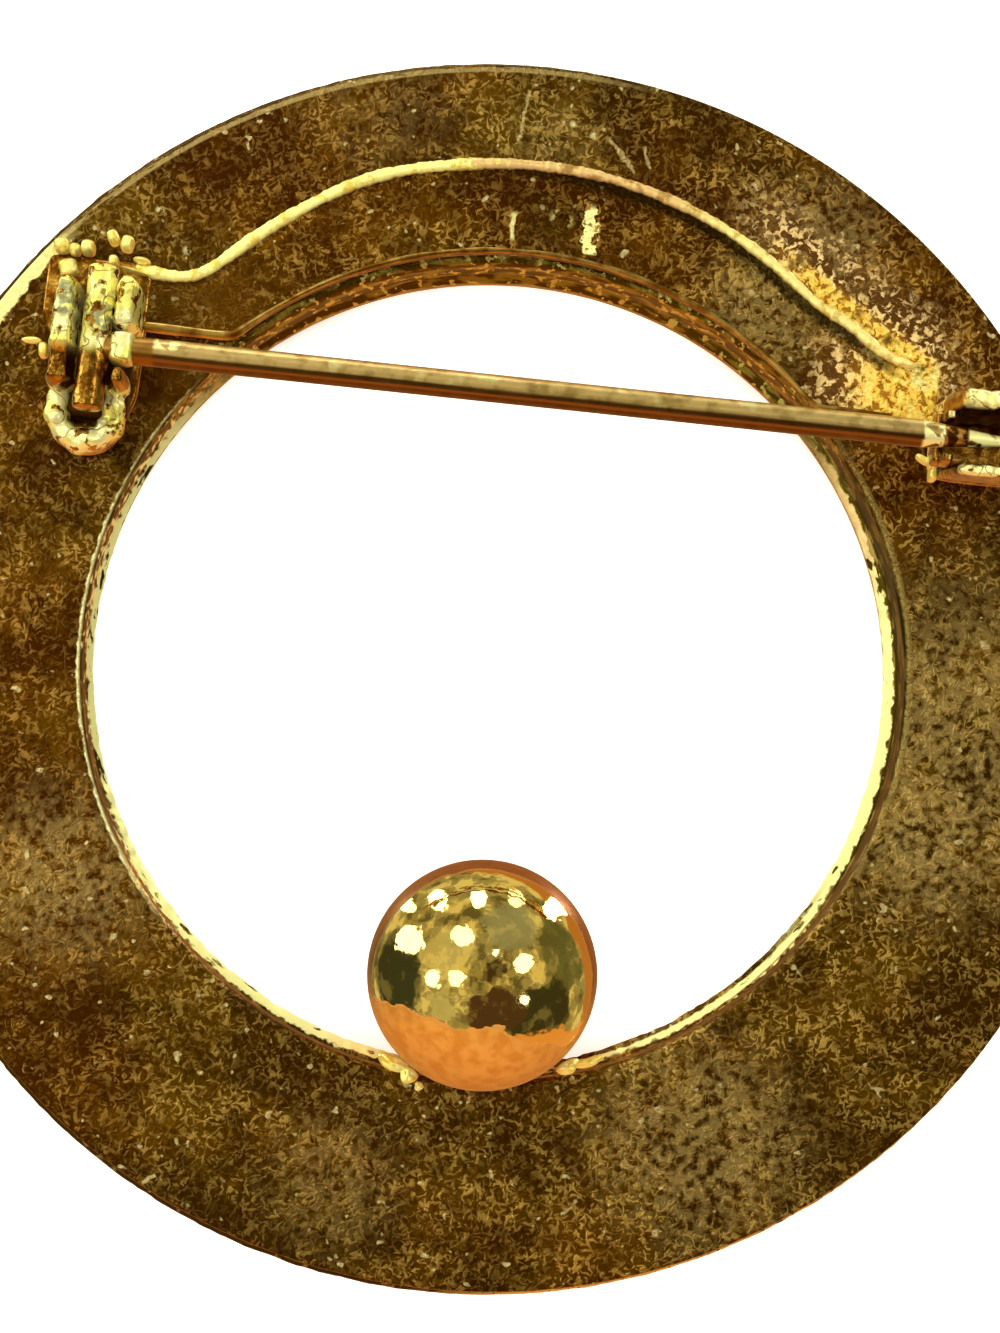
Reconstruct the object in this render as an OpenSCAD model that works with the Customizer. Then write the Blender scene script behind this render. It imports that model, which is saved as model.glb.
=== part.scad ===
// Circle brooch: a round band with a polished ball on its inner edge, and on its back a
// crescent bar with a hinge trough, a catch and a straight pin.
// Millimetres. The brooch lies face down: +Z is its back, z = 0 is the lowest point of
// the ball, and the Z axis is the axis of the ring. The pin runs along +X.

/* [Ring] */
// Outer diameter of the ring
ring_d = 45; // [44:0.5:48]
// Width of the band, from the hole to the outer edge
band_w = 8.15; // [7.8:0.05:8.5]
// Thickness of the ring at its middle
ring_t = 2.7; // [2.5:0.1:3]
// How far the front dome falls from its crown to its edges
dome_drop = 0.45; // [0.3:0.05:0.6]
// Height of the front shell, up to the ledge that the back plate stands on
lip_h = 1.6; // [1.4:0.05:1.8]
// How far the hole's wall leans in, up to the foot of its bevelled lip
lip_lean = 0.13; // [0.05:0.01:0.15]
// How far the bevelled lip then leans back from the hole
lip_flare = 0.25; // [0.2:0.01:0.3]
// Height of that bevel
lip_bevel = 0.25; // [0.15:0.01:0.3]
// How far the back plate is set back from the hole
plate_in = 0.35; // [0.3:0.01:0.4]
// How far the back plate is set in from the outer edge
plate_out = 0.45; // [0.4:0.01:0.6]
// How far the back plate sits off the ring's axis
plate_shift = 0.2; // [0:0.01:0.22]
// Direction of that shift, in degrees from +X
plate_angle = -45; // [-90:5:0]
// Rounding of the back plate's edges
edge_r = 0.2; // [0.15:0.01:0.25]

/* [Ball] */
// Diameter of the ball
ball_d = 8.1; // [7.8:0.1:8.4]
// How far the ball stands proud of the ring's front
ball_proud = 1.2; // [1:0.1:1.5]
// Distance from the ring's axis to the ball's centre
ball_reach = 11.35; // [11.1:0.05:11.4]
// Direction of the ball from the ring's axis, in degrees from +X
ball_angle = -85.4; // [-92:0.1:-85]
// Radius of the two solder beads beside the ball
bead_r = 0.5; // [0.4:0.05:0.6]
// Angle of the beads round the ball, each side of its outermost point
bead_angle = 45; // [40:1:50]

/* [Pin bar] */
// Thickness of the sheet
sheet_t = 0.4; // [0.3:0.05:0.5]
// Radius of the bar's upper edge
bar_arc_r = 15.25; // [15:0.05:15.5]
// Height of that edge's centre above the ring's centre
bar_arc_y = 2.8; // [2.6:0.05:3.1]
// Turn of the bar about the ring's axis, in degrees
bar_turn = -0.85; // [-1.5:0.05:0]
// Radius of the lower edge, about the ring's centre
bar_low_r = 15.05; // [14.95:0.05:15.3]
// Upper edge of the two tabs at the ends
tab_top = 12.25; // [12:0.05:12.4]
// Lower edge of the two tabs
tab_low = 10.6; // [10.5:0.1:10.9]
// Softness of the bend from the arc into a tab
tab_blend = 0.45; // [0.3:0.05:0.6]

/* [Hinge] */
// Distance of the hinge from the ring's centre line
hinge_x = 15; // [14.9:0.05:15.2]
// Height of the pin's axis above the ring's back
axis_h = 2.7; // [2.6:0.05:2.9]
// Half the width of the hinge trough
trough_half = 1.55; // [1.5:0.05:1.6]
// Radius of the pin's cross bar
cross_r = 0.55; // [0.54:0.01:0.56]
// Running clearance round the cross bar
cross_play = 0.05; // [0.03:0.01:0.08]
// Length of the cross bar above the stem, towards the top of the brooch
cross_up = 3; // [2.8:0.05:3.1]
// Length of the cross bar below the stem
cross_down = 2.35; // [2.2:0.05:2.4]
// Reach of the rolled cheeks above the stem
cheek_up = 2.4; // [2.3:0.05:2.5]
// Reach of the rolled cheeks below the stem
cheek_down = 1.55; // [1.5:0.05:1.6]
// Height of the cheeks above the pin's axis
cheek_over = 0.72; // [0.65:0.01:0.8]
// Half the gap between the cheeks where they close over the cross bar
grip_half = 0.48; // [0.45:0.01:0.5]
// Half the gap between the cheeks where they stand open
open_half = 0.76; // [0.7:0.01:0.8]
// Height of the trough's low rim above the ring's back
rim_h = 1.6; // [1.4:0.1:1.8]
// Half the width of the low rim, and the radius of its round end
rim_half = 1.45; // [1.4:0.05:1.5]
// Thickness of the low rim
rim_w = 0.85; // [0.7:0.05:0.9]
// How far the rim sits to the left of the hinge
rim_shift = 0.25; // [0:0.05:0.3]
// How far the trough's floor runs past the cheeks, upwards
floor_past_up = 1.7; // [1.5:0.1:1.9]
// How far the floor and its low rim run past the cheeks, downwards
floor_past_down = 2.2; // [2.1:0.05:2.3]
// Width of the two bent-up lugs at the top of the floor
lug_w = 0.9; // [0.7:0.1:1.1]
// Height of those lugs above the ring's back
lug_h = 1.1; // [0.8:0.1:1.3]

/* [Catch] */
// Where the catch starts, from the ring's centre line
catch_x = 14.65; // [14.6:0.05:14.8]
// Length of the catch
catch_len = 3.9; // [3.7:0.1:3.9]
// Half the width of the channel that the pin lies in
channel_half = 0.88; // [0.8:0.01:0.95]
// Thickness of the upper jaw
jaw_up_w = 0.95; // [0.85:0.05:1]
// Thickness of the lower jaw
jaw_low_w = 0.6; // [0.55:0.05:0.7]
// Height of the jaws above the pin's axis
jaw_over = 0.6; // [0.55:0.05:0.7]
// Thickness of the end wall with the notch that the pin rests in
notch_wall = 0.35; // [0.3:0.05:0.45]
// Slope of the jaws' front ends, in degrees from upright
jaw_slope = 13; // [8:1:16]

/* [Pin] */
// Diameter of the stem
stem_d = 1; // [0.9:0.05:1]
// Height of the pin above the ring's centre line, as seen from the back
pin_y = 9.1; // [9:0.05:9.2]
// Radius of the stem's tapered root, where it is joined to the cross bar
root_r = 0.55; // [0.53:0.01:0.56]
// Length of the root, from the pin's axis
root_len = 1.65; // [1.6:0.05:1.8]
// Half the width of the flat collar on the root
collar_half = 0.55; // [0.5:0.01:0.56]
// Where the collar starts, from the pin's axis
collar_x = 0.45; // [0.4:0.05:0.5]
// Length of the collar
collar_len = 1; // [0.9:0.05:1.05]
// Height of the collar's rounded top above the pin's axis
collar_up = 0.66; // [0.6:0.01:0.68]
// Radius of that rounded top
collar_round = 0.95; // [0.8:0.05:1.2]
// Reach of the point, from the ring's centre line
tip_x = 17.6; // [17.5:0.1:17.7]
// Length of the tapered point
tip_len = 3.3; // [3.2:0.1:3.5]
// Radius of the blunted end
tip_r = 0.14; // [0.1:0.01:0.2]

/* [Hidden] */
$fn = 96;

// Film between faces that are soldered together
solder_gap = 0.03;
// Play of the stem's root in the cheek's notch
root_play = 0.08;
// Surplus length of every cutter
over = 1;

ring_r = ring_d / 2;
hole_r = ring_r - band_w;
crown_r = ring_r - band_w / 2;
dome_r = (pow(band_w / 2, 2) + pow(dome_drop, 2)) / (2 * dome_drop);
ball_r = ball_d / 2;
ball_x = ball_reach * cos(ball_angle);
ball_y = ball_reach * sin(ball_angle);
stem_r = stem_d / 2;
back_z = ball_proud + ring_t;
sheet_z = back_z + solder_gap;
axis_z = back_z + axis_h;
cross_bore_r = cross_r + cross_play;
cheek_w = trough_half - open_half;
catch_end = catch_x + catch_len;

// Section of the front shell: a shallow dome below, and a bevelled lip round the hole
module shell_section() {
    intersection() {
        polygon([[hole_r, 0], [ring_r, 0], [ring_r, lip_h], [hole_r + lip_flare, lip_h],
                 [hole_r - lip_lean, lip_h - lip_bevel], [hole_r, dome_drop]]);
        translate([crown_r, dome_r]) circle(dome_r, $fn = 360);
    }
}

// Section of the back plate: a flat strip whose two back edges are round
module plate_section() {
    inner = hole_r + plate_in;
    outer = ring_r - plate_out;
    base = lip_h / 2;
    translate([inner, base]) square([outer - inner, ring_t - edge_r - base]);
    translate([inner + edge_r, base]) square([outer - inner - 2 * edge_r, ring_t - base]);
    translate([inner + edge_r, ring_t - edge_r]) circle(edge_r);
    translate([outer - edge_r, ring_t - edge_r]) circle(edge_r);
}

// The ball's outer form, grown by a gap for its seat
module ball_form(gap = 0) {
    translate([ball_x, ball_y, ball_r]) sphere(ball_r + gap);
}

module ring() {
    color("darkgoldenrod")
    difference() {
        union() {
            translate([0, 0, ball_proud]) rotate_extrude() shell_section();
            translate([plate_shift * cos(plate_angle), plate_shift * sin(plate_angle), ball_proud])
                rotate_extrude() plate_section();
            for (side = [-1, 1]) {
                a = ball_angle + side * bead_angle;
                translate([ball_x + (ball_r + bead_r / 2) * cos(a),
                           ball_y + (ball_r + bead_r / 2) * sin(a),
                           back_z - bead_r]) sphere(bead_r, $fn = 32);
            }
        }
        ball_form(solder_gap);
    }
}

module ball() {
    color("gold") ball_form();
}

// Smooth maximum of two heights, which rounds the corner between two edges
function soft_max(a, b, k) = b + k * ln(1 + exp((a - b) / k));

// Upper edge of the bar: an arc that eases into the flat tabs
function bar_top(x) = soft_max(bar_arc_y + sqrt(bar_arc_r * bar_arc_r - x * x), tab_top, tab_blend);

// Lower edge of the bar: concentric with the hole, then straight along the tabs
function bar_low(x) = soft_max(sqrt(max(0, bar_low_r * bar_low_r - x * x)), tab_low, tab_blend / 3);

module bar_sheet() {
    x0 = -hinge_x + trough_half / 2;
    x1 = catch_x + notch_wall;
    steps = 60;
    xs = [for (i = [0:steps]) x0 + (x1 - x0) * i / steps];
    outline = concat([for (x = xs) [x, bar_top(x)]],
                     [for (i = [steps:-1:0]) [xs[i], bar_low(xs[i])]]);
    translate([0, 0, sheet_z]) rotate(bar_turn) linear_extrude(sheet_t) polygon(outline);
}

// Plan of a trough: straight sides with one round end, which points to -Y
module trough_plan(half, up, down) {
    translate([-half, -down + half]) square([2 * half, up + down - half]);
    translate([0, -down + half]) circle(half);
}

// A cheek of rolled sheet along +Y: upright sides and a half-round top
module rolled_wall(width, length, height) {
    rotate([90, 0, 180]) linear_extrude(length) {
        translate([-width / 2, 0]) square([width, height - width / 2]);
        translate([0, height - width / 2]) circle(width / 2, $fn = 32);
    }
}

// Round hole along Y through the hinge, about the pin's axis
module cross_bore(r, down, up) {
    translate([0, -down, axis_z]) rotate([-90, 0, 0]) cylinder(r = r, h = down + up, $fn = 64);
}

module hinge_trough() {
    floor_up = cheek_up + floor_past_up;
    floor_down = cheek_down + floor_past_down;
    wall_h = axis_h + cheek_over - solder_gap;
    notch_half = root_r + root_play;
    translate([-hinge_x, pin_y, 0])
    difference() {
        union() {
            translate([-trough_half, -cheek_down, sheet_z])
                cube([2 * trough_half, cheek_down + floor_up, sheet_t]);
            translate([-rim_shift, 0, sheet_z]) linear_extrude(sheet_t)
                trough_plan(rim_half, 0, floor_down);
            translate([-rim_shift, 0, sheet_z]) linear_extrude(rim_h) difference() {
                trough_plan(rim_half, 0, floor_down);
                trough_plan(rim_half - rim_w, over, floor_down - rim_w);
            }
            translate([-trough_half, -cheek_down, sheet_z])
                cube([2 * trough_half, cheek_up + cheek_down, axis_h]);
            for (side = [-1, 1])
                translate([side * (trough_half - cheek_w / 2), -cheek_down, sheet_z])
                    rolled_wall(cheek_w, cheek_up + cheek_down, wall_h);
            translate([-trough_half, notch_half, axis_z - over])
                cube([2 * trough_half, cheek_up - notch_half, over + cheek_over / 2]);
            for (side = [-1, 1])
                translate([side * (trough_half - sheet_t / 2) - sheet_t / 2, floor_up - lug_w, sheet_z])
                    cube([sheet_t, lug_w, lug_h]);
        }
        cross_bore(cross_bore_r, floor_down - rim_w - sheet_t / 2, floor_up + over);
        // The cheeks stand open below the stem, and close over the cross bar above it
        translate([-open_half, -cheek_down - over, axis_z])
            cube([2 * open_half, cheek_down + over + notch_half, cheek_over + over]);
        translate([-grip_half, -over, axis_z])
            cube([2 * grip_half, cheek_up + 2 * over, cheek_over + over]);
        // Notch in the right cheek that the stem lies in and swings up from
        translate([0, -notch_half, axis_z - notch_half])
            cube([trough_half + over, 2 * notch_half, axis_h]);
    }
}

module catch() {
    width = jaw_low_w + 2 * channel_half + jaw_up_w;
    wall_h = axis_h + jaw_over - solder_gap;
    translate([0, pin_y - channel_half - jaw_low_w, 0])
    difference() {
        union() {
            translate([catch_x, 0, sheet_z]) cube([catch_len, width, sheet_t]);
            difference() {
                for (jaw = [[jaw_low_w, jaw_low_w / 2], [jaw_up_w, width - jaw_up_w / 2]])
                    translate([catch_x, jaw[1], sheet_z])
                        rotate([0, 0, -90]) rolled_wall(jaw[0], catch_len, wall_h);
                translate([catch_x + notch_wall, -over, sheet_z]) rotate([0, jaw_slope, 0])
                    translate([-axis_z, 0, -over]) cube([axis_z, width + 2 * over, 2 * axis_z]);
            }
            translate([catch_x, jaw_low_w / 2, sheet_z])
                cube([notch_wall, width - jaw_low_w, wall_h - jaw_up_w / 2]);
            translate([catch_end - sheet_t, 0, sheet_z]) cube([sheet_t, width, wall_h - jaw_up_w / 2]);
        }
        // Round-bottomed notch in the end wall that the pin rests in
        translate([catch_x - over, jaw_low_w + channel_half, axis_z]) rotate([0, 90, 0])
            cylinder(r = stem_r, h = over + 2 * notch_wall, $fn = 48);
        translate([catch_x - over, jaw_low_w + channel_half - stem_r, axis_z])
            cube([over + 2 * notch_wall, stem_d, axis_h]);
    }
}

module pin_bar() {
    color("goldenrod") union() {
        bar_sheet();
        hinge_trough();
        catch();
    }
}

module pin() {
    shaft_len = hinge_x + tip_x - tip_len;
    color("khaki")
    translate([-hinge_x, pin_y, axis_z]) {
        rotate([0, 90, 0]) cylinder(r1 = root_r, r2 = stem_r, h = root_len, $fn = 64);
        translate([root_len, 0, 0]) rotate([0, 90, 0])
            cylinder(r = stem_r, h = shaft_len - root_len, $fn = 64);
        translate([shaft_len, 0, 0]) rotate([0, 90, 0])
            cylinder(r1 = stem_r, r2 = tip_r, h = tip_len, $fn = 64);
        translate([0, -cross_down, 0]) rotate([-90, 0, 0])
            cylinder(r = cross_r, h = cross_down + cross_up, $fn = 64);
        intersection() {
            translate([collar_x, -collar_half, -root_r]) cube([collar_len, 2 * collar_half, 2 * axis_h]);
            translate([collar_x, 0, collar_up - collar_round]) rotate([0, 90, 0])
                cylinder(r = collar_round, h = collar_len, $fn = 64);
        }
    }
}

ring();
ball();
pin_bar();
pin();
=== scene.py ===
import math

import bpy
import numpy as np
from mathutils import Matrix, Vector


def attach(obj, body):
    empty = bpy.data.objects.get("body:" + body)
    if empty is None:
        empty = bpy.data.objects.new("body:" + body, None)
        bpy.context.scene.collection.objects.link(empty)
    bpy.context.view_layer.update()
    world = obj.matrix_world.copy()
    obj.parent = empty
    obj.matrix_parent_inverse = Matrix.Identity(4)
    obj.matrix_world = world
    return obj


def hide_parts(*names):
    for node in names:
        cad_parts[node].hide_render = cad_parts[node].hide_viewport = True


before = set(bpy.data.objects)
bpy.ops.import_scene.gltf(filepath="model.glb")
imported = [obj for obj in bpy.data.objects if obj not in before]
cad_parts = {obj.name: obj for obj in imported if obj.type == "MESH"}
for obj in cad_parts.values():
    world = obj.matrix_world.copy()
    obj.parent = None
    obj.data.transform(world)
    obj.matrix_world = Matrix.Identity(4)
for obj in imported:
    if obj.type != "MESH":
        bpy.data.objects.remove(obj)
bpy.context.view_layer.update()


# THE BAND
# Two pressed brass shells soldered into one flat ring: a domed, polished front whose edges
# stand up as a lip, and a flat back plate let in just inside both edges, a little off
# centre. Gilded all over; the back has a fine, random, wormy grain.

BACK = 3.9
HOLE_R, RIM_R, CROWN_R, DOME_R = 14.37, 22.5, 18.425, 18.68
FRONT, LEDGE = 1.2, 2.8
PLATE_IN, PLATE_OUT = 14.76, 22.19
IN_SHIFT, OUT_SHIFT, HOLE_SHIFT = (0.18, -0.30), (0.06, -0.12), (0.03, -0.20)


def eased(corners, radii, steps):
    """A closed outline whose corners are turned into short curves.
    Each curve starts a radius before its corner c, at a, and ends a radius after it, at b,
    and runs as (1-t)(1-t) a + 2t(1-t) c + t t b for t from 0 to 1."""
    radii = np.broadcast_to(radii, (len(corners),))[:, None]

    def toward(other):
        gap = np.linalg.norm((other - corners)[:, :2], axis=1, keepdims=True)
        return corners + (other - corners) * np.minimum(radii / np.maximum(gap, 1e-9), 0.5)

    a, b = toward(np.roll(corners, 1, 0)), toward(np.roll(corners, -1, 0))
    t = np.linspace(0.0, 1.0, steps)[None, :, None]
    curve = (1 - t) ** 2 * a[:, None] + 2 * t * (1 - t) * corners[:, None] + t ** 2 * b[:, None]
    return curve.reshape(-1, corners.shape[1])


def skin(name, grid, finish, run_closes=False, marks=None):
    """A closed mesh over a grid of points in millimetres, run by section, in one finish.
    Quads join each section, which closes on itself, to the next one; an open run is closed
    at both ends by a fan to the mean point of the section there. A mesh that comes out with
    a negative volume, the sum of a . (b x c) / 6 over its faces, is turned right side out.
    Marks are one number for each point, kept as the attribute "marks"."""
    runs, around = grid.shape[:2]
    points = grid.reshape(-1, 3)
    index = np.arange(runs * around).reshape(runs, around)
    here, there = (index, np.roll(index, -1, 0)) if run_closes else (index[:-1], index[1:])
    quads = np.stack([here, np.roll(here, -1, 1), np.roll(there, -1, 1), there], -1).reshape(-1, 4)
    fans = np.zeros((0, 3), int)
    if not run_closes:
        points = np.vstack([points, grid[0].mean(0), grid[-1].mean(0)])
        first, last = index[0], index[-1]
        fans = np.vstack([
            np.stack([np.roll(first, -1), first, np.full(around, len(points) - 2)], -1),
            np.stack([last, np.roll(last, -1), np.full(around, len(points) - 1)], -1),
        ])
    a, b, c, d = (points[quads[:, k]] for k in range(4))
    volume = (a * np.cross(b, c)).sum() + (a * np.cross(c, d)).sum()
    if len(fans):
        a, b, c = (points[fans[:, k]] for k in range(3))
        volume += (a * np.cross(b, c)).sum()
    if volume < 0:
        quads, fans = quads[:, ::-1], fans[:, ::-1]
    mesh = bpy.data.meshes.new(name)
    mesh.vertices.add(len(points))
    mesh.vertices.foreach_set("co", (points * 0.001).ravel())
    corners = np.concatenate([quads.ravel(), fans.ravel()])
    mesh.loops.add(len(corners))
    mesh.loops.foreach_set("vertex_index", corners)
    starts = np.concatenate([np.arange(len(quads)) * 4, len(quads) * 4 + np.arange(len(fans)) * 3])
    mesh.polygons.add(len(starts))
    mesh.polygons.foreach_set("loop_start", starts)
    mesh.polygons.foreach_set("use_smooth", np.ones(len(starts), bool))
    mesh.update(calc_edges=True)
    if marks is not None:
        marks = np.append(marks.ravel(), [marks[0].mean(), marks[-1].mean()])
        mesh.attributes.new("marks", "FLOAT", "POINT").data.foreach_set("value", marks)
    mesh.materials.append(finish.material)
    made = bpy.data.objects.new(name, mesh)
    bpy.context.collection.objects.link(made)
    return made


class Signal:
    """A value in a finish's nodes. Arithmetic on it adds Math nodes."""

    def __init__(self, finish, socket):
        self.finish, self.socket = finish, socket

    def math(self, operation, *values):
        return self.finish.node("Math", {"operation": operation}, dict(enumerate(values)))

    def __add__(self, other):
        return self.math("ADD", self, other)

    def __radd__(self, other):
        return self.math("ADD", other, self)

    def __sub__(self, other):
        return self.math("SUBTRACT", self, other)

    def __rsub__(self, other):
        return self.math("SUBTRACT", other, self)

    def __mul__(self, other):
        return self.math("MULTIPLY", self, other)

    def __rmul__(self, other):
        return self.math("MULTIPLY", other, self)

    def __truediv__(self, other):
        return self.math("DIVIDE", self, other)

    def __pow__(self, other):
        return self.math("POWER", self, other)

    def size(self):
        return self.math("ABSOLUTE", self)

    def or_more(self, other):
        return self.math("MAXIMUM", self, other)

    def rise(self, low, high):
        """0 below low, 1 above high, and a smooth step between; falls if high is below low."""
        if high < low:
            return 1 - self.rise(high, low)
        return self.finish.node(
            "MapRange", {"interpolation_type": "SMOOTHSTEP"},
            {"Value": self, "From Min": low, "From Max": high})


class Finish:
    """A metal finish: its material, its Principled shader and its measures in millimetres."""

    def __init__(self, name, metallic=1.0):
        self.material = bpy.data.materials.new(name)
        self.material.use_nodes = True
        self.tree = self.material.node_tree
        self.shader = self.tree.nodes["Principled BSDF"]
        self.shader.inputs["Metallic"].default_value = metallic
        spot = self.node("TexCoord", {}, {}, "Object")
        self.spot = self.node("VectorMath", {"operation": "SCALE"}, {0: spot, "Scale": 1000.0})
        self.x, self.y, self.z = (self.node("SeparateXYZ", {}, {0: self.spot}, k) for k in range(3))

    def node(self, kind, settings, values, out=0):
        """Adds one node: its settings first, then the values or links of its sockets."""
        made = self.tree.nodes.new("ShaderNode" + kind)
        for key, value in settings.items():
            setattr(made, key, value)
        for key, value in values.items():
            if isinstance(value, Signal):
                self.tree.links.new(value.socket, made.inputs[key])
            else:
                made.inputs[key].default_value = value
        return Signal(self, made.outputs[out])

    def noise(self, scale, detail=2.0, spot=None, keep=0.5):
        """Noise about 0.5, with scale lumps to the millimetre, and detail finer layers that
        are each keep times as strong as the one before."""
        return self.node("TexNoise", {}, {"Vector": spot or self.spot, "Scale": scale,
                                          "Detail": detail, "Roughness": keep})

    def moved(self, x, y, z, stretch=(1, 1, 1)):
        """The place on the piece, shifted and stretched, for a second noise unlike the first."""
        return self.node("VectorMath", {"operation": "MULTIPLY_ADD"},
                         {0: self.spot, 1: stretch, 2: (x, y, z)})

    def tint(self, factor, low, high):
        """Colour low where factor is 0, high where it is 1."""
        low, high = ((*c, 1.0) if isinstance(c, tuple) else c for c in (low, high))
        return self.node("Mix", {"data_type": "RGBA"}, {0: factor, 6: low, 7: high}, 2)

    def far_from(self, x, y):
        """Distance from a place on the back, in millimetres."""
        return ((self.x - x) ** 2.0 + (self.y - y) ** 2.0) ** 0.5

    def near(self, x, y, inner, outer):
        """1 within inner of a place on the back, 0 beyond outer."""
        return self.far_from(x, y).rise(outer, inner)

    def wear(self, colour, roughness, height, depth, strength=1.0, metallic=None):
        """Feeds the shader: colour, roughness, a bump of height times depth millimetres, and
        how metallic the surface is where that changes over it."""
        for socket, value in (("Base Color", colour), ("Roughness", roughness), ("Metallic", metallic)):
            if isinstance(value, Signal):
                self.tree.links.new(value.socket, self.shader.inputs[socket])
            elif value is not None:
                self.shader.inputs[socket].default_value = value
        bump = self.node("Bump", {}, {"Strength": strength, "Distance": depth * 0.001, "Height": height})
        self.tree.links.new(bump.socket, self.shader.inputs["Normal"])


def flecked(finish, spot, scale, low, high, ways):
    """Short flecks that lie several ways: for each way, an angle, a noise drawn out along it
    to 2.4 times its width and cut off between low and high."""
    flecks = None
    for way in ways:
        turned = finish.node("VectorRotate", {"rotation_type": "Z_AXIS"}, {"Vector": spot, "Angle": way})
        drawn = finish.node("VectorMath", {"operation": "MULTIPLY_ADD"},
                            {0: turned, 1: (0.42, 1, 1), 2: (9.0 * way, 3.0, 5.0)})
        lying = finish.noise(scale, 1.0, drawn).rise(low, high)
        flecks = lying if flecks is None else flecks.or_more(lying)
    return flecks


def curled(finish, spot, scale, reach):
    """The place on the piece, pushed about by a noise with scale lumps to the millimetre."""
    push = finish.node("TexNoise", {}, {"Vector": spot, "Scale": scale, "Detail": 1.0}, 1)
    return finish.node("VectorMath", {"operation": "MULTIPLY_ADD"}, {0: push, 1: (reach,) * 3, 2: spot})


def grain(finish, shift):
    """The grained back as one colour and one height. Clouds run from dark brown to olive
    gold, and short tan flecks lie over them in clumps, more in the light clouds, with a few
    painted glints."""
    spot, other = finish.moved(shift, 3.1, 0.7), finish.moved(7.7, shift, 5.3)
    hue = finish.noise(0.11, 2.0, spot).rise(0.38, 0.62)
    cloud = finish.noise(0.26, 5.0, spot, 0.7).rise(0.32, 0.68)
    short = flecked(finish, curled(finish, spot, 2.4, 0.45), 6.0, 0.55, 0.68, (0.3, 1.4, 2.5))
    pits = finish.noise(5.0, 3.0, spot)
    dark = finish.tint(hue, (0.070, 0.019, 0.0003), (0.060, 0.024, 0.0006))
    light = finish.tint(hue, (0.185, 0.070, 0.0016), (0.170, 0.083, 0.0035))
    ground = finish.tint((cloud + 1.5 * (pits - 0.5)).rise(0.1, 1.1), dark, light)
    clump = finish.noise(1.0, 3.0, other).rise(0.36, 0.64)
    strokes = (0.08 + 0.54 * cloud + 0.20 * finish.x.rise(-20.0, 10.0)) * short * (0.24 + 0.76 * clump)
    colour = finish.tint(strokes, ground, finish.tint(hue, (1.0, 0.58, 0.15), (0.92, 0.62, 0.18)))
    # A few pale specks over the grain are painted glints
    painted_glints = finish.noise(2.4, 1.0, finish.moved(shift, 1.9, 8.4)).rise(0.71, 0.76)
    return finish.tint(painted_glints * 0.8, colour, (0.95, 0.80, 0.46)), short * 0.9 + pits * 0.9


def crumbs(finish, close):
    """The bright crust by the catch, as a colour and a height: close to the bar rounded
    yellow crumbs that almost touch, farther off tan ones with wide brown gaps."""
    lumps = finish.noise(3.6, 3.0, curled(finish, finish.spot, 2.6, 0.5), 0.6)
    crumb = (lumps + 0.10 * close).rise(0.49, 0.57)
    bright = finish.tint(close, (0.90, 0.58, 0.24), (1.0, 0.60, 0.075))
    brightest = finish.tint(close, (1.0, 0.70, 0.30), (1.0, 0.82, 0.20))
    bright = finish.tint(lumps.rise(0.50, 0.62), bright, brightest)
    gaps = finish.tint(close, (0.10, 0.034, 0.001), (0.42, 0.17, 0.010))
    return finish.tint(crumb, gaps, bright), crumb


band_gilt = Finish("band_gilt")
on_back = band_gilt.z.rise(BACK - 0.12, BACK - 0.02)
on_front = band_gilt.z.rise(LEDGE - 0.75, LEDGE - 1.0)
back, back_height = grain(band_gilt, 11.3)
flecks = band_gilt.noise(3.0, 2.0, band_gilt.moved(4.1, 0.3, 9.0))
# Where the back is rubbed lighter: place, inner and outer reach, strength
for x, y, inner, outer, strength in (
    (-14.2, -9.3, 0.4, 4.6, 0.40), (-3.6, -18.9, 0.4, 3.4, 0.26), (9.1, -16.3, 1.2, 5.0, 0.46),
    (15.9, -5.6, 0.2, 3.2, 0.34), (17.0, -1.5, 2.0, 8.0, 0.42), (10.6, 16.6, 0.4, 3.4, 0.34),
    (-6.0, 20.0, 0.4, 4.0, 0.12), (0.4, 18.9, 0.2, 2.6, 0.16),
):
    rubbed = band_gilt.near(x, y, inner, outer) * flecks.rise(0.36, 0.60)
    back = band_gilt.tint(rubbed * strength, back, (0.86, 0.62, 0.24))
# Longer scratches and single bright specks: two ends and width, then place and reach
for x, y, end_x, end_y, wide in (
    (-0.68, 21.1, -0.84, 19.4, 0.09), (2.4, 19.6, 3.5, 18.4, 0.10), (3.7, 19.4, 4.0, 18.6, 0.09),
):
    length = math.hypot(end_x - x, end_y - y)
    go_x, go_y = (end_x - x) / length, (end_y - y) / length
    run = (band_gilt.x - x) * go_x + (band_gilt.y - y) * go_y
    off = ((band_gilt.x - x) * go_y - (band_gilt.y - y) * go_x + 0.3 * (flecks - 0.5)).size()
    scratch = off.rise(wide, wide * 0.4) * run.rise(-0.05, 0.05) * run.rise(length + 0.05, length - 0.05)
    back = band_gilt.tint(scratch * 0.75, back, (0.80, 0.62, 0.30))
for x, y, reach in (
    (1.84, 19.62, 0.15), (1.03, 19.99, 0.13), (-0.85, 19.21, 0.14),
    (-13.67, 15.1, 0.16), (-12.5, 13.7, 0.17),
):
    speck = band_gilt.near(x, y, reach * 0.3, reach * 1.4) * flecks.rise(0.44, 0.54)
    back = band_gilt.tint(speck, back, (1.0, 0.90, 0.50))
back = band_gilt.tint(band_gilt.near(-13.0, 8.32, 0.12, 0.28) * 0.9, back, (0.008, 0.003, 0.0002))
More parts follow.
